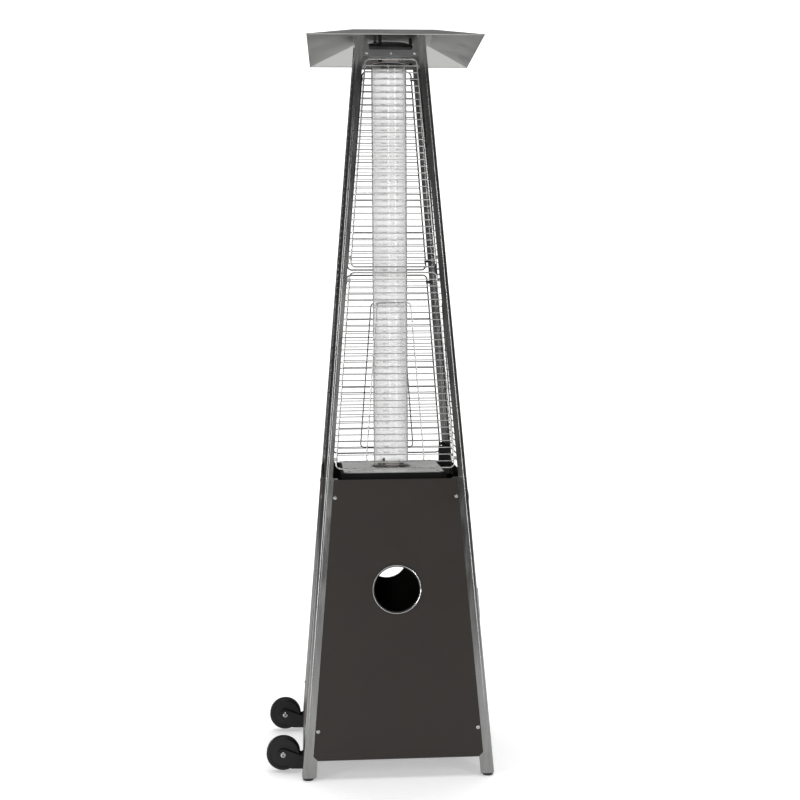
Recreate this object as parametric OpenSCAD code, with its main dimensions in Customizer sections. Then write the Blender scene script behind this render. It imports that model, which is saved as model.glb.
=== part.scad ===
/* [Tower] */
// Height from the floor to the top of the reflector
total_h = 2200; // [2180:1:2230]
// Width across the legs at the floor
base_w = 570; // [550:1:580]
// Inward lean of each face, in millimetres per millimetre of height
lean_rate = 0.0828; // [0.08:0.0001:0.084]
// Height of the joint between the lower and upper legs
joint_z = 883; // [880:1:890]

/* [Legs] */
// Width of one flange of a lower leg
lower_flange = 42; // [40:1:44]
// Width of one flange of an upper leg
upper_flange = 26; // [24:1:28]
// Thickness of the leg sheet
leg_t = 1.5; // [1.2:0.1:1.6]
// Radius of the rounded outer corner of a leg
leg_r = 14; // [12:1:15]

/* [Cabinet] */
// Height of the lower edge of the panels
panel_bottom_z = 60; // [59:1:62]
// Height of the upper edge of the panels
panel_top_z = 878; // [874:1:880]
// Thickness of the panel sheet
panel_t = 1.2; // [1:0.1:1.4]
// Distance from the tower's corner edge to a panel's side edge
panel_margin = 30; // [29:1:31]
// Radius of the round vent in each side panel
vent_r = 68; // [64:1:70]
// Height of the centre of the vents
vent_z = 555; // [540:1:570]
// Height of the gap between the door and the control panel
door_top_z = 700; // [690:1:704]

/* [Burner] */
// Half width of the black burner box
box_half = 157; // [154:1:158]
// Half width of the steel burner deck
deck_half = 150; // [146:1:152]
// Outer radius of the glass tube
tube_r = 53.5; // [52:0.5:54]
// Wall thickness of the glass tube
tube_t = 3; // [2.5:0.5:3.5]

/* [Guards] */
// Radius of a guard's border rod
border_r = 2.4; // [2.2:0.1:2.6]
// Radius of a guard's cross wires
wire_r = 1.5; // [1.3:0.1:1.7]
// Distance between two cross wires
wire_pitch = 20; // [19:0.5:22]

/* [Reflector] */
// Half width of the reflector at its rim
reflector_half = 255; // [250:1:258]
// Half width of the reflector's flat top
flat_half = 120; // [116:1:124]
// Height of the rim below the flat top
reflector_drop = 41; // [36:1:44]
// Turn of the reflector on its loose studs, in degrees
reflector_turn = -1.3; // [-1.5:0.1:1.5]
// Sideways play taken up by the reflector on its studs
reflector_shift = 11; // [0:1:12]

/* [Wheels] */
// Radius of a wheel
wheel_r = 50; // [46:1:51]
// Width of a wheel
wheel_w = 32; // [30:1:33]
// Distance of the axle from the tower's axis
axle_x = 339.5; // [338:0.5:342]
// Height of the axle above the floor
axle_z = 57; // [56:1:60]
// Distance of each wheel's middle plane from the tower's middle plane
wheel_y = 190; // [186:1:194]

/* [Hidden] */
$fn = 48;
LEAN = atan(lean_rate);
EDGE = atan(lean_rate * cos(LEAN));
HIP = atan(lean_rate * sqrt(2));
SIDE_PANELS = [1, 3];
ALL_FACES = [0, 1, 2, 3];
foot_h = 9;
leg_top_z = total_h - 12;
screw_r = 2.4;
screw_edge = 37.5;
panel_screw_zs = [145, 826];
control_bottom_z = door_top_z + 4;
control_screw_zs = [735, 826];
inner_x = -1.9;
inner_edge = 13;
tray_z = 58;
tray_t = 2;
shelf_z = 745;
box_top_z = 889;
deck_z = box_top_z + 0.3;
deck_t = 2;
tube_bottom_z = 886.5;
tube_top_z = 2131;
top_plate_z = 2124;
top_band_z = 2144;
stud_ring_r = 68;
stud_angles = [4, 124, 244];
pull_y = -80;
pull_z = 470;
guard_margin = 34;
guard_x = -4.6;
guard_bend = 14;
lower_guard_zs = [910, 1486];
upper_guard_zs = [1503, 2117];
valve_z = 795;
valve_back = -52;
igniter_y = -75;
fork_half = 19;
fork_t = 3;
axle_r = 4;
hinge_x = 4.4;
hinge_edge = 24;
hinge_zs = [190, 600];
pin_r = 2;

// half width of the tower at a height, and length along a face up to a height
function half_at(z) = base_w / 2 - lean_rate * z;
function slope(z) = z / cos(LEAN);
function tangent(c, r, p, side) =
    let (d = norm(p - c), a = atan2(p.y - c.y, p.x - c.x) + side * acos(r / d))
    c + r * [cos(a), sin(a)];

// ---- places ----

// x points out of the face, y across it and z up its slope; faces run front, right, back, left
module on_face(i) {
    rotate([0, 0, 90 * i]) translate([base_w / 2, 0, 0]) rotate([0, -LEAN, 0]) children();
}

module on_face_at(i, y, z) {
    on_face(i) translate([0, y, slope(z)]) children();
}

// x points out of the face, -y runs inwards from the corner edge and z along that edge
module on_edge(i, z) {
    on_face_at(i, half_at(z), z) rotate([EDGE, 0, 0]) children();
}

module at_studs() {
    for (a = stud_angles) rotate([0, 0, a]) translate([stud_ring_r, 0, 0]) children();
}

module corners(a) {
    for (x = [-a, a], y = [-a, a]) translate([x, y, 0]) children();
}

// ---- general shapes ----

// rod of radius r from point a to point b
module rod(a, b, r) {
    d = b - a;
    translate(a) rotate([0, acos(d.z / norm(d)), atan2(d.y, d.x)]) cylinder(r = r, h = norm(d));
}

// flat sheet in a face: outline in (y, slope) points, from depth x to x + t
module sheet(x, t, points) {
    translate([x, 0, 0]) rotate([90, 0, 90]) linear_extrude(t) polygon(points);
}

module band(x, t, z0, z1, edge) {
    sheet(x, t, [[-half_at(z0) + edge, slope(z0)], [half_at(z0) - edge, slope(z0)],
        [half_at(z1) - edge, slope(z1)], [-half_at(z1) + edge, slope(z1)]]);
}

// hole along the face's normal
module face_hole(y, z, r, depth = 20) {
    translate([-depth / 2, y, slope(z)]) rotate([0, 90, 0]) cylinder(r = r, h = depth);
}

module octagon_plate(half, cut, z, t) {
    translate([0, 0, z]) linear_extrude(t)
        polygon([[half, -half + cut], [half, half - cut], [half - cut, half], [-half + cut, half],
            [-half, half - cut], [-half, -half + cut], [-half + cut, -half], [half - cut, -half]]);
}

// cross-head screw, its head on the plane x = 0 and its shank towards -x
module screw(head_r, shank_r, shank) {
    rotate([0, 90, 0]) difference() {
        union() {
            translate([0, 0, -shank]) cylinder(r = shank_r, h = shank + 0.5);
            intersection() {
                cylinder(r = head_r, h = head_r * 0.5);
                translate([0, 0, -head_r * 1.1]) sphere(r = head_r * 1.6);
            }
        }
        for (a = [0, 90]) rotate([0, 0, a])
            translate([-head_r * 0.6, -head_r * 0.1, head_r * 0.3]) cube([head_r * 1.2, head_r * 0.2, head_r]);
    }
}

// ---- legs ----

module leg_profile(width, t, r) {
    out = max(width, 2 * r) + 1;
    difference() {
        union() {
            translate([-r, -r]) circle(r = r);
            translate([-width, -r]) square([width - r, r]);
            translate([-r, -width]) square([r, width - r]);
        }
        translate([-r, -r]) circle(r = r - t);
        translate([-out, -out]) square([out - r, out - t]);
        translate([-out, -out]) square([out - t, out - r]);
    }
}

// angle section along the corner edge, between two level cuts; inset moves it inside the legs
module corner_angle(z0, z1, width, t, r, inset) {
    intersection() {
        translate([half_at(0) - inset, half_at(0) - inset, 0]) rotate(a = HIP, v = [1, -1, 0])
            translate([0, 0, -40]) linear_extrude(leg_top_z + 120) leg_profile(width, t, r);
        translate([0, 0, z0]) cube([base_w, base_w, z1 - z0]);
    }
}

module lower_leg(i) {
    color("silver") difference() {
        rotate([0, 0, 90 * i]) corner_angle(foot_h, joint_z - 0.5, lower_flange, leg_t, leg_r, 0);
        for (f = [i, i + 1]) on_face(f) for (s = [-1, 1]) {
            for (z = f % 4 == 0 ? control_screw_zs : panel_screw_zs)
                face_hole(s * (half_at(z) - screw_edge), z, screw_r + 0.1);
            for (z = [78, 758]) face_hole(s * (half_at(z) - 33), z, screw_r + 0.1);
        }
    }
}

module upper_leg(i) {
    color("silver")
        rotate([0, 0, 90 * i]) corner_angle(joint_z + 0.5, leg_top_z, upper_flange, leg_t, leg_r, 0);
}

module leg_couplers() {
    color("dimgray") for (i = ALL_FACES) rotate([0, 0, 90 * i])
        corner_angle(joint_z - 45, joint_z + 45, upper_flange - 2, 2, leg_r - leg_t - 0.1, leg_t + 0.1);
}

module foot_glides() {
    color("black") for (i = ALL_FACES) rotate([0, 0, 90 * i])
        translate([half_at(0) - 20, half_at(0) - 20, 0]) {
            cylinder(r = 15, h = 3);
            translate([0, 0, 3]) cylinder(r = 17, h = foot_h - 3);
            translate([-12, -12, foot_h - 1]) cube([21, 21, 30]);
        }
}

// ---- sheet parts of the cabinet ----

module tray_rims(z0, z1) {
    for (i = ALL_FACES) on_face(i) band(inner_x - 1.6, 1.5, z0, z1, inner_edge);
}

module base_tray() {
    color("dimgray") difference() {
        union() {
            octagon_plate(half_at(tray_z) - 3, 14, tray_z, tray_t);
            tray_rims(tray_z, tray_z + 28);
            for (s = [-1, 1], c = [-1, 1]) translate([-279.6, s * wheel_y + c * (fork_half - 0.9) - 0.8, 34])
                cube([21, 1.6, tray_z - 33]);
        }
        for (i = ALL_FACES, s = [-1, 1]) on_face(i) face_hole(s * (half_at(78) - 33), 78, screw_r + 0.1);
        fork_screw_holes(screw_r + 0.1);
        for (a = [0:60:300]) rotate([0, 0, a]) translate([150, 0, tray_z - 1]) cylinder(r = 12, h = 5);
    }
}

module heat_shelf() {
    color("dimgray") difference() {
        union() {
            octagon_plate(half_at(shelf_z) - 3, 14, shelf_z, tray_t);
            tray_rims(shelf_z, shelf_z + 28);
        }
        for (i = ALL_FACES, s = [-1, 1]) on_face(i) face_hole(s * (half_at(758) - 33), 758, screw_r + 0.1);
        on_face_at(0, 0, valve_z) translate([-34, 0, -80]) cylinder(r = 15, h = 60);
        translate([0, 0, shelf_z - 1]) cylinder(r = 30, h = 5);
    }
}

module panel_blank(z0, z1, cut, x) {
    sheet(x, panel_t, [
        [-half_at(z0) + panel_margin + cut, slope(z0)], [half_at(z0) - panel_margin - cut, slope(z0)],
        [half_at(z0) - panel_margin, slope(z0 + cut)], [half_at(z1) - panel_margin, slope(z1)],
        [-half_at(z1) + panel_margin, slope(z1)], [-half_at(z0) + panel_margin, slope(z0 + cut)]]);
}

module panel_holes(zs) {
    for (z = zs, s = [-1, 1]) face_hole(s * (half_at(z) - screw_edge), z, screw_r + 0.1);
}

module plain_panel(i, vented) {
    color([0.2, 0.18, 0.17]) on_face(i) difference() {
        panel_blank(panel_bottom_z, panel_top_z, 12, 0);
        panel_holes(panel_screw_zs);
        if (vented) face_hole(0, vent_z, vent_r);
    }
}

module control_panel() {
    color([0.2, 0.18, 0.17]) on_face(0) difference() {
        panel_blank(control_bottom_z, panel_top_z, 0, 0);
        panel_holes(control_screw_zs);
        face_hole(0, valve_z, 8);
        face_hole(igniter_y, valve_z, 11.2);
        for (y = [-13, 13]) face_hole(y, valve_z + 20, 2.1);
    }
}

module vent_rings() {
    color("silver") for (i = SIDE_PANELS) on_face_at(i, 0, vent_z) rotate([0, 90, 0]) difference() {
        union() {
            translate([0, 0, panel_t]) cylinder(r = vent_r + 6.8, h = 1.6);
            translate([0, 0, -3]) cylinder(r = vent_r - 0.1, h = 4.5);
        }
        translate([0, 0, -4]) cylinder(r = vent_r - 1.6, h = 8);
    }
}

module panel_screws() {
    color("silver") {
        for (i = [1, 2, 3], z = panel_screw_zs, s = [-1, 1])
            on_face_at(i, s * (half_at(z) - screw_edge), z) translate([panel_t, 0, 0]) screw(5.5, screw_r, 9);
        for (z = control_screw_zs, s = [-1, 1])
            on_face_at(0, s * (half_at(z) - screw_edge), z) translate([panel_t, 0, 0]) screw(5.5, screw_r, 9);
    }
}

// screws with their heads inside the tower, those of the forks, the deck and the top box
module frame_screws() {
    color("silver") {
        for (i = ALL_FACES, z = [78, 758], s = [-1, 1])
            on_face_at(i, s * (half_at(z) - 33), z) translate([inner_x - 1.6, 0, 0])
                mirror([1, 0, 0]) screw(5, screw_r, 3);
        for (i = ALL_FACES, y = [-71, 0, 71])
            on_face_at(i, y, 2134) translate([inner_x, 0, 0]) screw(4, screw_r, 6);
        corners(deck_half - 16) translate([0, 0, deck_z + deck_t]) rotate([0, -90, 0]) screw(4.5, screw_r, 5);
        for (s = [-1, 1], c = [-1, 1])
            translate([-276, s * wheel_y + c * (fork_half + fork_t), 47]) rotate([0, 0, 90 * c])
                screw(4.5, screw_r, 8);
    }
}

// ---- door ----

module door_panel() {
    color([0.2, 0.18, 0.17]) on_face(0) difference() {
        panel_blank(panel_bottom_z, door_top_z, 12, 0.6);
        for (s = [-1, 1]) face_hole(pull_y, pull_z + s * 45, 2.1);
    }
}

module hinge_places() {
    for (z = hinge_zs) on_edge(0, z) translate([hinge_x, -hinge_edge, 0]) children();
}

// knuckles from the first to the last of five equal lengths
module knuckle(first, count) {
    difference() {
        translate([0, 0, -30 + first * 12 + 0.2]) cylinder(r = 4, h = count * 12 - 0.4);
        translate([0, 0, -40]) cylinder(r = pin_r + 0.06, h = 80);
    }
}

module fixed_hinge_leaves() {
    color("silver") hinge_places() {
        for (k = [0, 2, 4]) {
            knuckle(k, 1);
            difference() {
                translate([-hinge_x + 0.1, 0, -30 + k * 12 + 0.2]) cube([1.5, 17, 11.6]);
                translate([0, 0, -40]) cylinder(r = pin_r + 0.06, h = 80);
            }
        }
        translate([-hinge_x + 0.1, 5, -30]) cube([1.5, 12, 60]);
    }
}

module door_hinge_leaves() {
    color("silver") hinge_places() {
        for (k = [1, 3]) {
            knuckle(k, 1);
            difference() {
                translate([-hinge_x + 1.9, -22, -30 + k * 12 + 0.2]) cube([1.5, 22, 11.6]);
                translate([0, 0, -40]) cylinder(r = pin_r + 0.06, h = 80);
            }
        }
        translate([-hinge_x + 1.9, -24, -30]) cube([1.5, 18, 60]);
    }
}

module hinge_pins() {
    color("silver") hinge_places() {
        translate([0, 0, -31]) cylinder(r = pin_r, h = 62);
        for (z = [-33.5, 31]) translate([0, 0, z]) cylinder(r = 3.6, h = 2.5);
    }
}

module door_pull() {
    color("silver") on_face_at(0, pull_y, pull_z) {
        for (s = [-1, 1]) {
            translate([1.8, 0, s * 45]) rotate([0, 90, 0]) cylinder(r = 3.5, h = 14);
            translate([15.8, 0, s * 45]) sphere(r = 3.5);
        }
        translate([15.8, 0, -45]) cylinder(r = 3.5, h = 90);
    }
}

module magnet_catch() {
    color("dimgray") on_face_at(0, -half_at(640) + 44, 640) {
        translate([-15, 0, -18]) cube([13.6, 16, 36]);
        translate([-3.6, -24, -18]) cube([1.7, 26, 36]);
    }
}

module strike_plate() {
    color("silver") on_face_at(0, -half_at(640) + 46, 640) translate([-1, 0, -14]) cube([1.6, 12, 28]);
}

// ---- burner ----

module burner_box() {
    color([0.06, 0.06, 0.06]) difference() {
        translate([-box_half, -box_half, shelf_z + tray_t])
            cube([2 * box_half, 2 * box_half, box_top_z - shelf_z - tray_t]);
        translate([-box_half + 1.5, -box_half + 1.5, shelf_z])
            cube([2 * box_half - 3, 2 * box_half - 3, box_top_z - shelf_z - 1.5]);
        translate([0, 0, box_top_z - 5]) octagon_plate(box_half - 34, 30, 0, 10);
        corners(deck_half - 16) translate([0, 0, box_top_z - 5]) cylinder(r = screw_r + 0.1, h = 10);
        on_face_at(0, 0, valve_z) translate([-120, 0, 0]) rotate([0, 90, 0]) cylinder(r = 18, h = 80);
        on_face_at(0, igniter_y, valve_z) translate([-120, 0, 0]) rotate([0, 90, 0]) cylinder(r = 6, h = 80);
    }
}

module burner_deck() {
    color([0.55, 0.55, 0.55]) difference() {
        union() {
            octagon_plate(deck_half, 10, deck_z, deck_t);
            translate([0, 0, deck_z + deck_t - 0.5]) difference() {
                cylinder(r = 65, h = 2);
                translate([0, 0, -1]) cylinder(r = 62, h = 5);
            }
        }
        translate([0, 0, deck_z - 1]) cylinder(r = 60, h = 6);
        corners(deck_half - 16) translate([0, 0, deck_z - 1]) cylinder(r = screw_r + 0.1, h = 6);
    }
}

module tube_seat() {
    color("silver") difference() {
        translate([0, 0, 879]) cylinder(r = 66, h = deck_z - 879);
        translate([0, 0, 870]) cylinder(r = 46, h = 30);
        translate([0, 0, tube_bottom_z - 0.5]) cylinder(r = tube_r + 0.6, h = 10);
        corners(30) translate([0, 0, 870]) cylinder(r = 4, h = 30);
    }
}

module glass_tube() {
    color([0.8, 0.85, 0.88, 0.4]) difference() {
        translate([0, 0, tube_bottom_z]) cylinder(r = tube_r, h = tube_top_z - tube_bottom_z, $fn = 96);
        translate([0, 0, tube_bottom_z - 1])
            cylinder(r = tube_r - tube_t, h = tube_top_z - tube_bottom_z + 2, $fn = 96);
    }
}

module tube_collar() {
    color("silver") difference() {
        union() {
            translate([0, 0, 2116]) cylinder(r = 59.6, h = 12);
            translate([0, 0, top_plate_z - 1.7]) cylinder(r = 62, h = 1.6);
        }
        translate([0, 0, 2110]) cylinder(r = tube_r + 0.8, h = 30);
    }
}

module burner_cup() {
    color("silver") difference() {
        translate([0, 0, 802]) cylinder(r = 44, h = 98);
        translate([0, 0, 803.5]) cylinder(r = 42.5, h = 100);
        translate([0, 0, 795]) cylinder(r = 7.2, h = 20);
        cup_passes(795, 20);
        for (a = [0:45:315]) rotate([0, 0, a + 22.5]) translate([36, 0, 818]) rotate([0, 90, 0])
            cylinder(r = 6, h = 16);
    }
}

// holes for the pilot tube, the thermocouple and the electrode
module cup_passes(z, h) {
    for (y = [-10, 10]) translate([-22, y, z]) cylinder(r = 3.2, h = h);
    translate([24, -20, z]) cylinder(r = 4.4, h = h);
}

module burner_gauze() {
    color("dimgray") difference() {
        union() {
            translate([0, 0, 893]) cylinder(r = 42.3, h = 1.5);
            translate([0, 0, 886]) difference() {
                cylinder(r = 42.3, h = 8);
                translate([0, 0, -1]) cylinder(r = 41, h = 10);
            }
        }
        for (ring = [[6, 0], [12, 9], [16, 14], [22, 36]])
            for (a = [0:360 / ring.x:359]) rotate([0, 0, a]) translate([ring.y, 0, 890]) cylinder(r = 1.6, h = 6);
        cup_passes(888, 10);
    }
}

// rod from a point on the valve's line, inwards to the bend and then straight up
module bent_line(back, x_end, y, r, z_top) {
    start = [half_at(valve_z) + back * cos(LEAN), y, valve_z + back * sin(LEAN)];
    bend = [x_end, y, start.z - (start.x - x_end) * tan(LEAN)];
    rod(start, bend, r);
    translate(bend) sphere(r = r * 1.03);
    rod(bend, [x_end, y, z_top], r);
}

module feed_pipe() {
    color("goldenrod") {
        bent_line(valve_back, 0, 0, 5, 800);
        translate([0, 0, 796]) cylinder(r = 7, h = 14);
    }
}

module pilot_tube() {
    color("goldenrod") {
        bent_line(valve_back, -22, 10, 2, 903);
        translate([-22, 10, 902]) cylinder(r = 4.5, h = 12);
    }
}

module thermocouple_lead() {
    color("peru") {
        bent_line(valve_back, -22, -10, 1.5, 900);
        translate([-22, -10, 896]) cylinder(r = 2.6, h = 22);
    }
}

module spark_electrode() {
    color("white") {
        translate([24, -20, 804]) cylinder(r = 4.1, h = 94);
        translate([24, -20, 898]) cylinder(r = 1.2, h = 18);
    }
}

module electrode_wire() {
    start = [half_at(valve_z) - 45 * cos(LEAN), igniter_y, valve_z - 45 * sin(LEAN)];
    bend = [24, igniter_y, start.z - (start.x - 24) * tan(LEAN)];
    under = [24, -20, bend.z];
    color("black") {
        rod(start, bend, 1.5);
        rod(bend, under, 1.5);
        rod(under, [24, -20, 804], 1.5);
        for (p = [bend, under]) translate(p) sphere(r = 1.55);
    }
}

module tilt_switch() {
    color([0.05, 0.05, 0.05]) {
        translate([168, 160, 872]) cube([32, 32, 57]);
        translate([172, 164, 929]) cube([20, 20, 4]);
    }
}

// ---- controls ----

module gas_valve() {
    color("goldenrod") on_face_at(0, 0, valve_z) difference() {
        union() {
            translate([valve_back, -18, -16]) cube([36, 36, 32]);
            translate([-18, 0, 0]) rotate([0, 90, 0]) cylinder(r = 9, h = 15);
            translate([-4, -18, -8]) cube([1.5, 36, 32]);
            for (y = [-18, 10]) translate([-18, y, 12]) cube([15, 8, 2]);
        }
        translate([-30, 0, 0]) rotate([0, 90, 0]) cylinder(r = 5.1, h = 40);
        for (y = [-13, 13]) translate([-30, y, 20]) rotate([0, 90, 0]) cylinder(r = 2.1, h = 40);
    }
}

module gas_inlet() {
    color("goldenrod") on_face_at(0, 0, valve_z) translate([-34, 0, 0]) {
        translate([0, 0, -28]) cylinder(r = 11, h = 12, $fn = 6);
        translate([0, 0, -72]) cylinder(r = 5, h = 46);
    }
}

module spring_cup() {
    color("silver") on_face_at(0, 0, valve_z) rotate([0, 90, 0]) difference() {
        union() {
            translate([0, 0, -14]) cylinder(r = 5, h = 19);
            translate([0, 0, 4]) cylinder(r = 6.5, h = 2);
        }
        translate([0, 0, -20]) cylinder(r = 3.08, h = 40);
    }
}

module valve_spindle() {
    color("silver") on_face_at(0, 0, valve_z) rotate([0, 90, 0]) {
        translate([0, 0, -22]) cylinder(r = 3, h = 40);
        translate([0, 0, -20.5]) cylinder(r = 4.6, h = 5.5);
    }
}

module control_knob() {
    color([0.07, 0.07, 0.07]) on_face_at(0, 0, valve_z) rotate([0, 90, 0]) difference() {
        union() {
            translate([0, 0, 7]) cylinder(r = 21, h = 5);
            translate([0, 0, 12]) cylinder(r1 = 17, r2 = 15.5, h = 11);
        }
        for (a = [15:30:345]) rotate([0, 0, a]) translate([17.8, 0, 13]) cylinder(r = 2.6, h = 20);
        translate([0, 0, 0]) cylinder(r = 3.05, h = 18.5);
        translate([-16, -0.8, 22]) cube([12, 1.6, 3]);
    }
}

module igniter_body() {
    color([0.07, 0.07, 0.07]) on_face_at(0, igniter_y, valve_z) rotate([0, 90, 0]) difference() {
        union() {
            translate([0, 0, -45]) cylinder(r = 11, h = 46);
            translate([0, 0, panel_t]) cylinder(r = 14.5, h = 2.2);
        }
        translate([0, 0, -18]) cylinder(r = 8.1, h = 30);
    }
}

module igniter_button() {
    color("crimson") on_face_at(0, igniter_y, valve_z) rotate([0, 90, 0]) {
        translate([0, 0, -10]) cylinder(r = 8, h = 18);
        intersection() {
            translate([0, 0, 8]) cylinder(r = 8, h = 3);
            translate([0, 0, -9]) sphere(r = 19.2);
        }
    }
}

// ---- guards ----

// closed rod frame in a face, bent in short straight steps at the corners of a trapezoid
module bent_frame(y0, y1, s0, s1, r, bend) {
    side = atan2(y0 - y1, s1 - s0);
    lead0 = bend * tan((90 + side) / 2);
    lead1 = bend * tan((90 - side) / 2);
    half_loop = concat(
        [for (k = [0:2]) let (a = -90 + (90 + side) * k / 2)
            [y0 - lead0, s0 + bend] + bend * [cos(a), sin(a)]],
        [for (k = [0:2]) let (a = side + (90 - side) * k / 2)
            [y1 - lead1, s1 - bend] + bend * [cos(a), sin(a)]]);
    loop = concat(half_loop, [for (k = [len(half_loop) - 1:-1:0]) [-half_loop[k].x, half_loop[k].y]]);
    for (k = [0:len(loop) - 1]) let (a = loop[k], b = loop[(k + 1) % len(loop)]) {
        rod([0, a.x, a.y], [0, b.x, b.y], r);
        translate([0, a.x, a.y]) sphere(r = r * 1.03);
    }
}

module guard(i, zs, looped) {
    z0 = zs[0];
    z1 = zs[1];
    s0 = slope(z0);
    s1 = slope(z1);
    y0 = half_at(z0) - guard_margin;
    y1 = half_at(z1) - guard_margin;
    count = floor((s1 - s0 - 12) / wire_pitch);
    color("silver") on_face(i) translate([guard_x, 0, 0]) {
        bent_frame(y0, y1, s0, s1, border_r, guard_bend);
        for (k = [1:count]) {
            s = s0 + (s1 - s0) * k / (count + 1);
            y = y0 + (y1 - y0) * k / (count + 1);
            rod([0, -y, s], [0, y, s], wire_r);
        }
        if (looped) translate([1.8, 0, 0]) bent_frame(86, 50, slope(928), slope(1397), 2, 12);
        for (z = [z0 + 28, z1 - 22], m = [-1, 1]) guard_clip(m, z);
    }
}

// strap welded to the border rod that hooks behind the leg's flange
module guard_clip(m, z) {
    translate([0, m * (half_at(z) - guard_margin), slope(z)]) {
        translate([0.9, m > 0 ? -3 : -17, -5]) cube([1.8, 20, 10]);
        translate([0, 0, -5]) cylinder(r = border_r + 1.2, h = 10);
    }
}

// ---- top ----

module top_box() {
    lip = 62;
    color("gray") difference() {
        union() {
            octagon_plate(half_at(top_plate_z) - 3.2, 14, top_plate_z, 1.5);
            for (i = ALL_FACES) on_face(i) {
                band(inner_x - 1.5, 1.5, top_plate_z, top_band_z, inner_edge);
                for (m = [-1, 1]) sheet(inner_x - 1.5, 1.5, [
                    [m * lip, slope(top_band_z) - 1], [m * (half_at(top_band_z) - inner_edge), slope(top_band_z) - 1],
                    [m * (half_at(2184) - inner_edge), slope(2184)], [m * 74, slope(2184)]]);
                translate([inner_x - 1.5, -lip, slope(top_band_z) - 1]) rotate([0, -40, 0]) cube([1.5, 2 * lip, 16]);
            }
        }
        translate([0, 0, top_plate_z - 5]) cylinder(r = 60, h = 10);
        for (i = ALL_FACES, y = [-71, 0, 71]) on_face(i) face_hole(y, 2134, screw_r + 0.1);
        at_studs() translate([0, 0, top_plate_z - 5]) cylinder(r = 3.1, h = 10);
    }
}

// spacers with studs, the deflector disc that they carry and the nuts on top
module reflector_studs() {
    color([0.08, 0.08, 0.08]) {
        at_studs() {
            translate([0, 0, top_plate_z + 1.5]) cylinder(r = 5, h = total_h - 1.4 - top_plate_z - 1.5);
            translate([0, 0, top_plate_z - 8]) cylinder(r = 3, h = total_h + 4 - top_plate_z + 8);
            translate([0, 0, top_plate_z - 5]) cylinder(r = 5.5, h = 4.9, $fn = 6);
            translate([0, 0, total_h + 0.1]) cylinder(r = 5.5, h = 4, $fn = 6);
        }
        translate([0, 0, 2172]) cylinder(r = 74, h = 1.5);
    }
}

module frustum(half0, half1, z0, z1) {
    polyhedron(
        points = [for (c = [[half0, z0], [half1, z1]], p = [[-1, -1], [1, -1], [1, 1], [-1, 1]])
            [p.x * c[0], p.y * c[0], c[1]]],
        faces = [[0, 1, 2, 3], [7, 6, 5, 4], [0, 4, 5, 1], [1, 5, 6, 2], [2, 6, 7, 3], [3, 7, 4, 0]]);
}

module reflector() {
    rim_z = total_h - reflector_drop;
    slant = (reflector_half - flat_half) / reflector_drop;
    color("silver") difference() {
        translate([reflector_shift, 0, 0]) rotate([0, 0, reflector_turn]) union() {
            difference() {
                frustum(reflector_half, flat_half, rim_z, total_h);
                frustum(reflector_half + 2 * slant, flat_half, rim_z - 3.3, total_h - 1.3);
            }
            for (i = ALL_FACES) rotate([0, 0, 90 * i])
                rod([reflector_half - 2.4, -reflector_half + 2.4, rim_z], [reflector_half - 2.4, reflector_half - 2.4, rim_z], 2);
            corners(reflector_half - 2.4) translate([0, 0, rim_z]) sphere(r = 2.08);
        }
        at_studs() translate([0, 0, total_h - 10]) cylinder(r = 3.4, h = 20);
    }
}

// ---- wheels ----

module at_wheel(s) {
    translate([-axle_x, s * wheel_y, axle_z]) rotate([-90, 0, 0]) children();
}

module wheel(s) {
    color([0.05, 0.05, 0.05]) at_wheel(s) difference() {
        rotate_extrude($fn = 96) difference() {
            union() {
                translate([0, -wheel_w / 2]) square([wheel_r - 6, wheel_w]);
                translate([0, -wheel_w / 2 + 6]) square([wheel_r, wheel_w - 12]);
                for (z = [-1, 1]) translate([wheel_r - 6, z * (wheel_w / 2 - 6)]) circle(r = 6);
                translate([0, -fork_half + 0.6]) square([12, 2 * fork_half - 1.2]);
            }
            for (z = [-1, 1]) translate([14, z * wheel_w / 2 - 2.5]) square([26, 5]);
            translate([-10, -50]) square([10 + axle_r + 0.07, 100]);
            translate([-80, -80]) square([80, 160]);
        }
    }
}

module fork_screw_holes(r) {
    for (s = [-1, 1]) translate([-276, s * wheel_y - 40, 47]) rotate([-90, 0, 0]) cylinder(r = r, h = 80);
}

// two cheeks and a web, with the axle bolt through them
module wheel_forks() {
    axle = [-axle_x, axle_z];
    top = [-286, 52];
    low = [-316, 14];
    color([0.09, 0.09, 0.09]) difference() {
        for (s = [-1, 1]) {
            for (c = [-fork_half - fork_t, fork_half]) translate([0, s * wheel_y + c + fork_t, 0])
                rotate([90, 0, 0]) linear_extrude(fork_t) {
                    translate(axle) circle(r = 16);
                    polygon([tangent(axle, 16, low, -1), low, [-248, 12], [-248, 58], [-278, 58], top,
                        tangent(axle, 16, top, 1)]);
                }
            translate([-251, s * wheel_y - fork_half - 1, 12]) cube([3, 2 * fork_half + 2, 46]);
        }
        fork_screw_holes(screw_r + 0.1);
    }
    color("silver") for (s = [-1, 1]) {
        at_wheel(s) translate([0, 0, -fork_half - fork_t - 2]) cylinder(r = axle_r, h = 2 * (fork_half + fork_t) + 8);
        translate([-axle_x, s * wheel_y - fork_half - fork_t, axle_z]) rotate([0, 0, -90]) screw(8.5, axle_r, 2);
        at_wheel(s) translate([0, 0, fork_half + fork_t]) cylinder(r = 7.5, h = 5, $fn = 6);
    }
}

// ---- nodes ----

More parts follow.
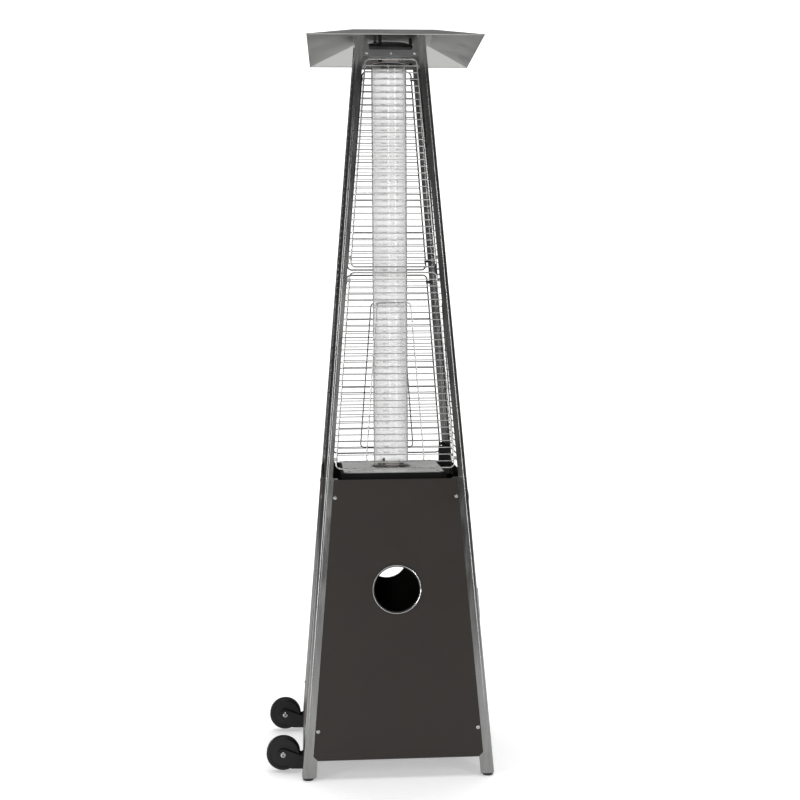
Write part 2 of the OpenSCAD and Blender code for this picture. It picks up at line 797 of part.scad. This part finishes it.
lower_leg(0);  // lower_leg_front_right
lower_leg(1);  // lower_leg_back_right
lower_leg(2);  // lower_leg_back_left
lower_leg(3);  // lower_leg_front_left
upper_leg(0);  // upper_leg_front_right
upper_leg(1);  // upper_leg_back_right
upper_leg(2);  // upper_leg_back_left
upper_leg(3);  // upper_leg_front_left
leg_couplers();
foot_glides();
base_tray();
heat_shelf();
plain_panel(3, true);  // left_side_panel
plain_panel(1, true);  // right_side_panel
plain_panel(2, false);  // back_panel
control_panel();
vent_rings();
panel_screws();
frame_screws();
door_panel();
fixed_hinge_leaves();
door_hinge_leaves();
hinge_pins();
door_pull();
magnet_catch();
strike_plate();
burner_box();
burner_deck();
burner_cup();
burner_gauze();
feed_pipe();
pilot_tube();
thermocouple_lead();
spark_electrode();
electrode_wire();
gas_valve();
gas_inlet();
spring_cup();
valve_spindle();
control_knob();
igniter_body();
igniter_button();
tilt_switch();
tube_seat();
glass_tube();
tube_collar();
guard(0, lower_guard_zs, true);  // lower_guard_front
guard(1, lower_guard_zs, true);  // lower_guard_right
guard(2, lower_guard_zs, true);  // lower_guard_back
guard(3, lower_guard_zs, true);  // lower_guard_left
guard(0, upper_guard_zs, false);  // upper_guard_front
guard(1, upper_guard_zs, false);  // upper_guard_right
guard(2, upper_guard_zs, false);  // upper_guard_back
guard(3, upper_guard_zs, false);  // upper_guard_left
top_box();
reflector_studs();
reflector();
wheel_forks();
wheel(-1);  // wheel_left
wheel(1);  // wheel_right
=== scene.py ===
from math import atan, atan2, cos, pi, radians, sin, tan
import bpy
import bmesh
from mathutils import Matrix, Vector


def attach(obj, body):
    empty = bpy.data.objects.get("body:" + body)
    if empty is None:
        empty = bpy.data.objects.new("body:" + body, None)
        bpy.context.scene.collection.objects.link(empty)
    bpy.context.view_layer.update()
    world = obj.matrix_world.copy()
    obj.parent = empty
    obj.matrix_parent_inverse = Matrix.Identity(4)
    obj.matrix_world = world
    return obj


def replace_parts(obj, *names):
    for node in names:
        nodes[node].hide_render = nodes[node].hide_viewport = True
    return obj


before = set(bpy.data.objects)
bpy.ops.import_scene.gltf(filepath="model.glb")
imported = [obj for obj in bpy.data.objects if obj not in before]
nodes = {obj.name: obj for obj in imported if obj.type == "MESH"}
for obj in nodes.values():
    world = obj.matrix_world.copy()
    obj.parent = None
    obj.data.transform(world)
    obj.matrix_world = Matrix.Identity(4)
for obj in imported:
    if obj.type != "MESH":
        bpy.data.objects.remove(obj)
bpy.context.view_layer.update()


# ---- feet ----
# Black plastic glides on which the heater stands. They are moulded in one piece and
# knocked into the lower ends of the four legs.

def new_material(name, colour, metallic, roughness):
    """A principled material; returns it with its node tree and shader."""
    material = bpy.data.materials.new(name)
    material.use_nodes = True
    tree = material.node_tree
    shader = tree.nodes["Principled BSDF"]
    shader.inputs["Base Color"].default_value = (*colour, 1)
    shader.inputs["Metallic"].default_value = metallic
    shader.inputs["Roughness"].default_value = roughness
    return material, tree, shader


def put(tree, socket, value):
    """Links a socket to an input, or gives the input a constant."""
    if isinstance(value, bpy.types.NodeSocket):
        tree.links.new(value, socket)
    else:
        socket.default_value = value


def add(tree, kind, **values):
    """A node with its settings and inputs filled in."""
    node = tree.nodes.new(kind)
    for key, value in values.items():
        label = key.replace("_", " ")
        if key[0].isupper() and label in node.inputs:
            put(tree, node.inputs[label], value)
        else:
            setattr(node, key, value)
    return node


def maths(tree, kind, operation, *values):
    """A maths node fed in order; returns the node."""
    node = add(tree, kind, operation=operation)
    for socket, value in zip(node.inputs, values):
        put(tree, socket, value)
    return node


def mixed_colour(tree, factor, first, second):
    """The colour between two colours."""
    node = add(tree, "ShaderNodeMix", data_type="RGBA", Factor=factor)
    put(tree, node.inputs[6], first)
    put(tree, node.inputs[7], second)
    return node.outputs[2]


def group(name, inputs, outputs):
    """A node group with its input and output nodes."""
    tree = bpy.data.node_groups.new(name, "ShaderNodeTree")
    for label, kind, default in inputs:
        socket = tree.interface.new_socket(label, in_out="INPUT", socket_type=kind)
        socket.default_value = default
    for label, kind in outputs:
        tree.interface.new_socket(label, in_out="OUTPUT", socket_type=kind)
    return tree, tree.nodes.new("NodeGroupInput"), tree.nodes.new("NodeGroupOutput")


def own_place(tree):
    """Coordinates that stay with the piece."""
    return add(tree, "ShaderNodeTexCoord").outputs["Object"]


def drawn_out(tree, stretch):
    """The piece's coordinates, scaled on each axis to draw a pattern out along it."""
    return maths(tree, "ShaderNodeVectorMath", "MULTIPLY", own_place(tree), stretch).outputs[0]


def noise(tree, vector, scale, detail=4):
    """A cloudy value from 0 to 1."""
    node = add(tree, "ShaderNodeTexNoise", Vector=vector, Scale=scale, Detail=detail, Roughness=0.6)
    return node.outputs[0]


def surface_group():
    """Two colours mixed by a mottle, a roughness that varies with it and a fine bump."""
    tree, into, out = group("surface_variation", [
        ("Color A", "NodeSocketColor", (0.5, 0.5, 0.5, 1)),
        ("Color B", "NodeSocketColor", (0.6, 0.6, 0.6, 1)),
        ("Stretch", "NodeSocketVector", (1, 1, 1)),
        ("Scale", "NodeSocketFloat", 40),
        ("Roughness Low", "NodeSocketFloat", 0.3),
        ("Roughness High", "NodeSocketFloat", 0.5),
        ("Grain Scale", "NodeSocketFloat", 900),
        ("Grain Depth", "NodeSocketFloat", 0.00002)],
        [("Color", "NodeSocketColor"), ("Roughness", "NodeSocketFloat"), ("Normal", "NodeSocketVector")])
    given = into.outputs
    drawn = drawn_out(tree, given["Stretch"])
    mottle = noise(tree, drawn, given["Scale"])
    grain = noise(tree, drawn, given["Grain Scale"], 2)
    cloud = noise(tree, own_place(tree), 7.0, 3)
    shifted = maths(tree, "ShaderNodeMath", "MULTIPLY_ADD", cloud, 0.8, -0.4)
    mixed = maths(tree, "ShaderNodeMath", "ADD", mottle, shifted.outputs[0])
    mixed.use_clamp = True
    rough = add(tree, "ShaderNodeMapRange", Value=mixed.outputs[0], From_Min=0.3, From_Max=0.7,
                To_Min=given["Roughness Low"], To_Max=given["Roughness High"])
    bump = add(tree, "ShaderNodeBump", Strength=1.0, Height=grain, Distance=given["Grain Depth"])
    colour = mixed_colour(tree, mixed.outputs[0], given["Color A"], given["Color B"])
    put(tree, out.inputs["Color"], colour)
    put(tree, out.inputs["Roughness"], rough.outputs[0])
    put(tree, out.inputs["Normal"], bump.outputs[0])
    return tree


variation = surface_group()


def finish(name, dark, light, metallic, rough,
           stretch=(1, 1, 1), scale=40, grain=900, depth=0.00002, **shader_values):
    """A material whose colour, roughness and grain vary over the piece."""
    material, tree, shader = new_material(name, dark, metallic, rough[0])
    vary = tree.nodes.new("ShaderNodeGroup")
    vary.node_tree = variation
    settings = {"Color A": (*dark, 1), "Color B": (*light, 1), "Stretch": stretch, "Scale": scale,
                "Roughness Low": rough[0], "Roughness High": rough[1],
                "Grain Scale": grain, "Grain Depth": depth}
    for label, value in settings.items():
        vary.inputs[label].default_value = value
    tree.links.new(vary.outputs["Color"], shader.inputs["Base Color"])
    tree.links.new(vary.outputs["Roughness"], shader.inputs["Roughness"])
    tree.links.new(vary.outputs["Normal"], shader.inputs["Normal"])
    for key, value in shader_values.items():
        shader.inputs[key.replace("_", " ")].default_value = value
    return material


def dress(material, *names):
    """Gives CAD nodes a material in place of the plain one."""
    for name in names:
        for slot in nodes[name].material_slots:
            slot.material = material


black_plastic = finish("black_plastic", (0.005, 0.005, 0.005), (0.01, 0.01, 0.01), 0, (0.42, 0.6),
                       scale=120, depth=0.00004)
dress(black_plastic, "foot_glides", "magnet_catch")

# ---- legs ----
# Angle sections folded from brushed stainless sheet with a rounded outer corner. The
# narrower upper legs meet the lower ones end to end over couplers screwed inside.

CORNERS = ("front_right", "back_right", "back_left", "front_left")
brushed_stainless = finish("brushed_stainless", (0.15, 0.15, 0.15), (0.32, 0.32, 0.315), 1, (0.17, 0.25),
                           stretch=(1, 1, 0.012), scale=90, depth=0.0000012)
for corner in CORNERS:
    dress(brushed_stainless, "lower_leg_" + corner, "upper_leg_" + corner)

zinc_steel = finish("zinc_steel", (0.36, 0.36, 0.36), (0.5, 0.5, 0.49), 1, (0.35, 0.5), scale=160)
dress(zinc_steel, "leg_couplers")

# ---- tray and shelf ----
# Grey coated sheet with folded rims, screwed between the legs: the tray carries the
# gas bottle and the shelf keeps the burner's heat away from it.

grey_sheet = finish("grey_sheet", (0.13, 0.13, 0.13), (0.17, 0.17, 0.17), 0, (0.5, 0.65),
                    scale=60, depth=0.00004)
dress(grey_sheet, "base_tray", "heat_shelf")

# ---- panels ----
# Flat steel sheets coated dark bronze brown, screwed to the legs' flanges at their
# corners. The two side panels have a round vent in a black ring.

bronze_paint = finish("bronze_paint", (0.016, 0.0122, 0.0100), (0.023, 0.0175, 0.0145), 0, (0.40, 0.50),
                      scale=9, grain=1400, depth=0.00003, Specular_IOR_Level=0.35)
dress(bronze_paint, "left_side_panel", "right_side_panel", "back_panel", "control_panel", "door_panel")
dress(black_plastic, "vent_rings")

# ---- door fittings ----
# Two polished hinges on a leaning line, a bent rod for a pull, and a zinc plated plate
# that the magnet inside holds shut.

polished_stainless = finish("polished_stainless", (0.6, 0.6, 0.59), (0.7, 0.7, 0.69), 1, (0.14, 0.26),
                            scale=150)
dress(polished_stainless, "fixed_hinge_leaves", "door_hinge_leaves", "hinge_pins")
dress(brushed_stainless, "door_pull")
dress(zinc_steel, "strike_plate")

# ---- screws ----
# Small steel screws that fix the panels and the frame parts to the legs.

screw_steel = finish("screw_steel", (0.34, 0.34, 0.33), (0.5, 0.5, 0.49), 1, (0.2, 0.34), scale=400)
dress(screw_steel, "panel_screws", "frame_screws")

# ---- burner ----
# Black coated box and tube seat with a grey steel deck; the cup, gauze and tube collar
# are stainless, browned by heat.

black_heat_paint = finish("black_heat_paint", (0.004, 0.004, 0.004), (0.008, 0.008, 0.008), 0, (0.45, 0.6),
                          scale=90, depth=0.00005, Specular_IOR_Level=0.3)
dress(black_heat_paint, "burner_box", "tube_seat", "tilt_switch")

deck_steel = finish("deck_steel", (0.68, 0.68, 0.67), (0.8, 0.8, 0.79), 0.1, (0.32, 0.45),
                    stretch=(0.05, 1, 1), scale=200)
dress(deck_steel, "burner_deck")

burner_steel = finish("burner_steel", (0.32, 0.29, 0.27), (0.5, 0.48, 0.46), 1, (0.3, 0.5), scale=60)
dress(burner_steel, "burner_cup", "burner_gauze", "tube_collar")

# ---- gas and ignition lines ----
# Brass valve, inlet and pipes; a copper thermocouple lead darkened by heat; a white
# ceramic electrode on a black sleeved wire.

valve_brass = finish("valve_brass", (0.55, 0.38, 0.16), (0.68, 0.5, 0.24), 1, (0.28, 0.42), scale=150)
dress(valve_brass, "feed_pipe", "pilot_tube", "gas_valve", "gas_inlet")

lead_copper = finish("lead_copper", (0.07, 0.055, 0.045), (0.11, 0.085, 0.07), 1, (0.3, 0.45), scale=150)
dress(lead_copper, "thermocouple_lead")

white_ceramic = finish("white_ceramic", (0.72, 0.71, 0.67), (0.82, 0.81, 0.78), 0, (0.16, 0.28), scale=120)
dress(white_ceramic, "spark_electrode")

wire_sleeve = finish("wire_sleeve", (0.015, 0.015, 0.015), (0.025, 0.025, 0.025), 0, (0.5, 0.7), scale=300)
dress(wire_sleeve, "electrode_wire")

# ---- controls ----
# Black moulded knob on the valve's spindle, which a spring in a cup pushes back, and a
# black igniter body with a red push button.

dress(zinc_steel, "spring_cup", "valve_spindle")
knob_plastic = finish("knob_plastic", (0.014, 0.014, 0.014), (0.022, 0.022, 0.022), 0, (0.34, 0.5),
                      scale=200, depth=0.00003)
dress(knob_plastic, "control_knob", "igniter_body")

button_plastic = finish("button_plastic", (0.40, 0.02, 0.02), (0.48, 0.035, 0.03), 0, (0.2, 0.32), scale=200)
dress(button_plastic, "igniter_button")

# ---- glass tube ----
# Clear heat-resisting glass, cut square and standing in its seat under its own weight.
# Its roughness varies in faint streaks along it, and lighter streaks painted into its tint are painted
# reflection streaks.

tube_glass, tree, shader = new_material("tube_glass", (0.80, 0.80, 0.80), 0, 0.12)
shader.inputs["Transmission Weight"].default_value = 1
shader.inputs["IOR"].default_value = 1.47
streaks_and_painted_sheen = noise(tree, drawn_out(tree, (1, 1, 0.01)), 70, 2)
rough = add(tree, "ShaderNodeMapRange", Value=streaks_and_painted_sheen, From_Min=0.35, From_Max=0.65, To_Min=0.08, To_Max=0.24)
tree.links.new(rough.outputs[0], shader.inputs["Roughness"])
# Painted reflection: the tint is lighter along the same vertical streaks.
painted_reflection_tint = mixed_colour(tree, streaks_and_painted_sheen, (0.80, 0.80, 0.80, 1), (0.92, 0.92, 0.92, 1))
tree.links.new(painted_reflection_tint, shader.inputs["Base Color"])
dress(tube_glass, "glass_tube")

# ---- guards ----
# Bright steel wires spot welded across a bent rod frame, one lower and one upper guard
# on each face, held to the legs by tabs. Painted shade darkens the sides that face inwards.

FACES = ("front", "right", "back", "left")
BASE_HALF = 0.285
LEAN_RATE = 0.0828
LEAN = atan(LEAN_RATE)
GUARD_X = -0.0046
GUARD_MARGIN = 0.034
GUARD_BEND = 0.014
BORDER_R = 0.0024
WIRE_R = 0.0015
WIRE_PITCH = 0.020
LOOP_R = 0.002
CLIP_HALF = 0.005
CLIP_EYE_R = 0.0036

guard_wire = finish("guard_wire", (0.46, 0.46, 0.45), (0.56, 0.56, 0.55), 1, (0.22, 0.34), scale=200)


def facing_shade_group():
    """Painted shade: a colour that turns dark on the sides of a piece that face a way."""
    tree, into, out = group("paint_facing_shade", [
        ("Color", "NodeSocketColor", (0.5, 0.5, 0.5, 1)),
        ("Dark", "NodeSocketColor", (0.02, 0.02, 0.02, 1)),
        ("Toward", "NodeSocketVector", (0, 0, 4)),
        ("Amount", "NodeSocketFloat", 0.9)],
        [("Color", "NodeSocketColor")])
    normal = add(tree, "ShaderNodeNewGeometry").outputs["Normal"]
    facing = maths(tree, "ShaderNodeVectorMath", "DOT_PRODUCT", normal, into.outputs["Toward"])
    mask = add(tree, "ShaderNodeMapRange", Value=facing.outputs["Value"], From_Min=-0.5, From_Max=0.5,
               To_Max=into.outputs["Amount"])
    put(tree, out.inputs["Color"],
        mixed_colour(tree, mask.outputs[0], into.outputs["Color"], into.outputs["Dark"]))
    return tree


facing_shade_tree = facing_shade_group()


def paint_facing_shade(material, toward, amount, dark):
    """Paints shade into the colour of the sides of a piece that face along a vector."""
    tree = material.node_tree
    colour = tree.nodes["Principled BSDF"].inputs["Base Color"]
    node = tree.nodes.new("ShaderNodeGroup")
    node.node_tree = facing_shade_tree
    put(tree, node.inputs["Color"], colour.links[0].from_socket)
    put(tree, node.inputs["Dark"], (*dark, 1))
    put(tree, node.inputs["Toward"], toward)
    put(tree, node.inputs["Amount"], amount)
    put(tree, colour, node.outputs["Color"])


INWARDS = (-8, -8, 0)
# Painted shade: the guard wires' colour turns near black on their sides that face inwards.
paint_facing_shade(guard_wire, drawn_out(guard_wire.node_tree, INWARDS), 0.92, (0.02, 0.02, 0.02))


def half_at(z):
    """Half the tower's width at a height."""
    return BASE_HALF - LEAN_RATE * z


def up_slope(z):
    """Distance up a leaning face to a height."""
    return z / cos(LEAN)


def face_place(i):
    """From a face's own x outwards, y across and z up its slope to the tower's axes."""
    turned = Matrix.Rotation(i * pi / 2, 4, "Z")
    return turned @ Matrix.Translation((BASE_HALF, 0, 0)) @ Matrix.Rotation(-LEAN, 4, "Y")


def tube(shape, points, radius, closed=False, sides=10):
    """Adds a round rod along the points to a bmesh."""
    points = [Vector(p) for p in points]
    count = len(points)
    rings, normal = [], None
    for k, point in enumerate(points):
        before = points[k - 1] if k or closed else point
        after = points[(k + 1) % count] if k < count - 1 or closed else point
        along = (after - before).normalized()
        if normal is None:
            normal = along.orthogonal()
        normal = (normal - along * normal.dot(along)).normalized()
        side = along.cross(normal)
        rings.append([shape.verts.new(point + radius * (cos(a) * normal + sin(a) * side))
                      for a in (2 * pi * j / sides for j in range(sides))])
    for k in range(count if closed else count - 1):
        one, two = rings[k], rings[(k + 1) % count]
        offset = 0
        if closed and k == count - 1:
            offset = min(range(sides), key=lambda o: (one[0].co - two[o].co).length)
        for j in range(sides):
            ahead = (j + 1 + offset) % sides
            shape.faces.new((one[j], one[(j + 1) % sides], two[ahead], two[(j + offset) % sides]))
    if not closed:
        shape.faces.new(rings[0][::-1])
        shape.faces.new(rings[-1])


def block(shape, low, high, place=Matrix.Identity(4)):
    """Adds a box to a bmesh."""
    for v in bmesh.ops.create_cube(shape, size=1)["verts"]:
        v.co = place @ Vector(l + (h - l) * (c + 0.5) for l, h, c in zip(low, high, v.co))


def piece(name, shape, material, body, place=Matrix.Identity(4)):
    """Makes a bmesh a piece of the heater: placed, shaded, dressed and riding on a body."""
    bmesh.ops.recalc_face_normals(shape, faces=shape.faces)
    shape.transform(place)
    mesh = bpy.data.meshes.new(name)
    shape.to_mesh(mesh)
    shape.free()
    mesh.materials.append(material)
    for face in mesh.polygons:
        face.use_smooth = True
    mesh.set_sharp_from_angle(angle=radians(35))
    made = bpy.data.objects.new(name, mesh)
    bpy.context.scene.collection.objects.link(made)
    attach(made, body)
    return made


def bent_frame(low, high, z_low, z_high, bend, x):
    """Outline of a trapezoid with rounded corners, in a face."""
    steps = 6
    side = atan2(low - high, z_high - z_low)
    lead_low, lead_high = bend * tan((pi / 2 + side) / 2), bend * tan((pi / 2 - side) / 2)
    half = [(low - lead_low + bend * cos(a), z_low + bend + bend * sin(a))
            for a in (-pi / 2 + (pi / 2 + side) * k / steps for k in range(steps + 1))]
    half += [(high - lead_high + bend * cos(a), z_high - bend + bend * sin(a))
             for a in (side + (pi / 2 - side) * k / steps for k in range(steps + 1))]
    return [(x, y, z) for y, z in half] + [(x, -y, z) for y, z in half[::-1]]


def guard_clips(shape, z):
    """A flat tab with an eye round the border rod, at both sides of a guard."""
    y, s = half_at(z) - GUARD_MARGIN, up_slope(z)
    for side in (-1, 1):
        near, far = sorted((side * (y - 0.003), side * (y + 0.017)))
        block(shape, (-0.0037, near, s - CLIP_HALF), (-0.0019, far, s + CLIP_HALF))
        tube(shape, [(GUARD_X, side * y, s - CLIP_HALF), (GUARD_X, side * y, s + CLIP_HALF)], CLIP_EYE_R)


for tier, z_low, z_high in (("lower", 0.910, 1.486), ("upper", 1.503, 2.117)):
    s_low, s_high = up_slope(z_low), up_slope(z_high)
    y_low, y_high = half_at(z_low) - GUARD_MARGIN, half_at(z_high) - GUARD_MARGIN
    wires = int((s_high - s_low - 0.012) / WIRE_PITCH)
    for i, face in enumerate(FACES):
        shape = bmesh.new()
        border = bent_frame(y_low, y_high, s_low, s_high, GUARD_BEND, GUARD_X)
        tube(shape, border, BORDER_R, closed=True)
        for k in range(1, wires + 1):
            t = k / (wires + 1)
            y, s = y_low + (y_high - y_low) * t, s_low + (s_high - s_low) * t
            tube(shape, [(GUARD_X, -y, s), (GUARD_X, y, s)], WIRE_R, sides=8)
        if tier == "lower":
            loop = bent_frame(0.086, 0.050, up_slope(0.928), up_slope(1.397), 0.012, -0.0028)
            tube(shape, loop, LOOP_R, closed=True)
        for z in (z_low + 0.028, z_high - 0.022):
            guard_clips(shape, z)
        name = f"{tier}_guard_{face}"
        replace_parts(piece("wires_" + name, shape, guard_wire, "tower", face_place(i)), name)

# ---- vent highlight beads ----
# A thin bright polished bead on the face of each black vent ring, standing a little
# proud of it: a painted highlight that stands in for the highlight along the ring's edge.

VENT_Z = 0.555
HIGHLIGHT_RING_R = 0.0706
HIGHLIGHT_BEAD_R = 0.0012
HIGHLIGHT_BEAD_X = 0.0031
HIGHLIGHT_BEAD_STEPS = 72

for label, i in (("left", FACES.index("left")), ("right", FACES.index("right"))):
    shape = bmesh.new()
    s = up_slope(VENT_Z)
    turns = [2 * pi * k / HIGHLIGHT_BEAD_STEPS for k in range(HIGHLIGHT_BEAD_STEPS)]
    circle = [(HIGHLIGHT_BEAD_X, HIGHLIGHT_RING_R * cos(a), s + HIGHLIGHT_RING_R * sin(a)) for a in turns]
    tube(shape, circle, HIGHLIGHT_BEAD_R, closed=True, sides=8)
    # Painted highlight: a bright polished bead in place of the highlight on the black ring's edge.
    piece("vent_highlight_bead_" + label, shape, polished_stainless, "tower", face_place(i))

# ---- top ----
# Steel box screwed between the upper legs; the pressed aluminium reflector rests on
# three black studs above it, with painted shade darkening its upward-facing outside.

top_steel = finish("top_steel", (0.16, 0.16, 0.16), (0.22, 0.22, 0.22), 1, (0.35, 0.5), scale=90)
dress(top_steel, "top_box")
dress(black_heat_paint, "reflector_studs")

reflector_aluminium = finish("reflector_aluminium", (0.40, 0.40, 0.395), (0.5, 0.5, 0.49), 1, (0.34, 0.46),
                             stretch=(0.06, 1, 1), scale=160)
UPWARDS = (0, 0, 4)
# Painted shade: the reflector's colour goes dark on its upward-facing outside.
paint_facing_shade(reflector_aluminium, UPWARDS, 0.85, (0.05, 0.05, 0.05))
dress(reflector_aluminium, "reflector")

# ---- wheels ----
# Two moulded black wheels in painted forks on the back legs, each turning on a bolt
# with a domed cross head.

AXLE_X = -0.3395
AXLE_Z = 0.057
WHEEL_Y = 0.190
FORK_FACE = 0.022
CROSS_DEPTH = 0.0274
HEAD_STEPS = 32

fork_paint = finish("fork_paint", (0.004, 0.004, 0.004), (0.008, 0.008, 0.008), 0, (0.4, 0.55),
                    scale=120, Specular_IOR_Level=0.3)
dress(fork_paint, "wheel_forks")
wheel_plastic = finish("wheel_plastic", (0.004, 0.004, 0.004), (0.008, 0.008, 0.008), 0, (0.38, 0.5),
                       scale=160, Specular_IOR_Level=0.3)
dress(wheel_plastic, "wheel_left", "wheel_right")


def domed_head(shape, x, y, z):
    """Adds a bolt's head, domed towards -y, to a bmesh."""
    outline = [(0.0088, 0), (0.0088, -0.0016), (0.0078, -0.0034), (0.0055, -0.0047), (0.0026, -0.0053)]
    turns = [2 * pi * k / HEAD_STEPS for k in range(HEAD_STEPS)]
    loops = [[shape.verts.new((x + r * cos(a), y + d, z + r * sin(a))) for a in turns] for r, d in outline]
    for one, two in zip(loops, loops[1:]):
        for k in range(HEAD_STEPS):
            after = (k + 1) % HEAD_STEPS
            shape.faces.new((one[k], one[after], two[after], two[k]))
    shape.faces.new(loops[-1])
    shape.faces.new(loops[0][::-1])


for label, y in (("left", -WHEEL_Y), ("right", WHEEL_Y)):
    shape = bmesh.new()
    domed_head(shape, AXLE_X, y - FORK_FACE, AXLE_Z)
    piece("axle_head_" + label, shape, screw_steel, "tower")
    shape = bmesh.new()
    centre = Matrix.Translation((AXLE_X, y - CROSS_DEPTH, AXLE_Z))
    for turn in (pi / 4, 3 * pi / 4):
        place = centre @ Matrix.Rotation(turn, 4, "Y")
        block(shape, (-0.0045, -0.0008, -0.0009), (0.0045, 0.0008, 0.0009), place)
    piece("axle_cross_" + label, shape, black_plastic, "tower")


# ---- studio ----
# Plain pale floor in front of a white backdrop, lit by large soft boxes.

def stage_sheet(name, profile, colour, glow):
    """A wide sheet that follows a profile in the y-z plane."""
    material, tree, shader = new_material(name, colour, 0, 0.9)
    shader.inputs["Emission Color"].default_value = (1, 1, 1, 1)
    shader.inputs["Emission Strength"].default_value = glow
    mesh = bpy.data.meshes.new(name)
    points = [(x, y, z) for y, z in profile for x in (-9, 9)]
    mesh.from_pydata(points, [], [(2 * k, 2 * k + 1, 2 * k + 3, 2 * k + 2) for k in range(len(profile) - 1)])
    mesh.materials.append(material)
    for face in mesh.polygons:
        face.use_smooth = True
    made = bpy.data.objects.new(name, mesh)
    bpy.context.scene.collection.objects.link(made)
    return made


stage_sheet("floor", [(-7, 0), (4, 0)], (0.9, 0.9, 0.9), 0.35)
SWEEP = 1.5
sweep = [(4 + SWEEP * sin(a * pi / 24), SWEEP - SWEEP * cos(a * pi / 24)) for a in range(13)]
backdrop = stage_sheet("backdrop", sweep + [(5.5, 8)], (0.5, 0.5, 0.5), 0.9)
backdrop.visible_glossy = False


def soft_box(name, place, aim, width, height, power):
    """A rectangular lamp that shines from a place towards an aim."""
    light = bpy.data.lights.new(name, "AREA")
    light.shape = "RECTANGLE"
    light.size, light.size_y, light.energy = width, height, power
    lamp = bpy.data.objects.new(name, light)
    lamp.location = place
    lamp.rotation_euler = (Vector(aim) - Vector(place)).to_track_quat("-Z", "Y").to_euler()
    bpy.context.scene.collection.objects.link(lamp)


soft_box("top_light", (0, 0.4, 5.4), (0, 0.5, 0), 6, 5, 250)
soft_box("left_light", (-3.2, -3.0, 1.4), (0, 0, 1.1), 0.35, 3.4, 45)
soft_box("right_light", (2.8, -3.6, 1.6), (0, 0, 1.1), 0.3, 3.4, 40)
soft_box("front_light", (-0.9, -6.4, 1.9), (0, 0, 1.1), 0.45, 3.2, 40)

world = bpy.data.worlds.new("studio")
world.use_nodes = True
sky = world.node_tree.nodes["Background"]
sky.inputs["Color"].default_value = (1, 1, 1, 1)
sky.inputs["Strength"].default_value = 0.10
bpy.context.scene.world = world

camera = bpy.data.cameras.new("camera")
camera.lens, camera.sensor_width = 57.88, 36
camera.sensor_fit = "HORIZONTAL"
view = bpy.data.objects.new("camera", camera)
yaw, pitch, roll = radians(4.12), radians(-4.08), radians(-0.30)
forward = Vector((sin(yaw) * cos(pitch), cos(yaw) * cos(pitch), sin(pitch)))
right = Vector((cos(yaw), -sin(yaw), 0))
up = right.cross(forward)
turned_right = right * cos(roll) + up * sin(roll)
turned_up = up * cos(roll) - right * sin(roll)
turn = Matrix((turned_right, turned_up, -forward)).transposed()
view.matrix_world = Matrix.Translation((-0.25645, -3.96853, 1.38026)) @ turn.to_4x4()
bpy.context.scene.collection.objects.link(view)
bpy.context.scene.camera = view
bpy.context.scene.view_settings.view_transform = "Standard"
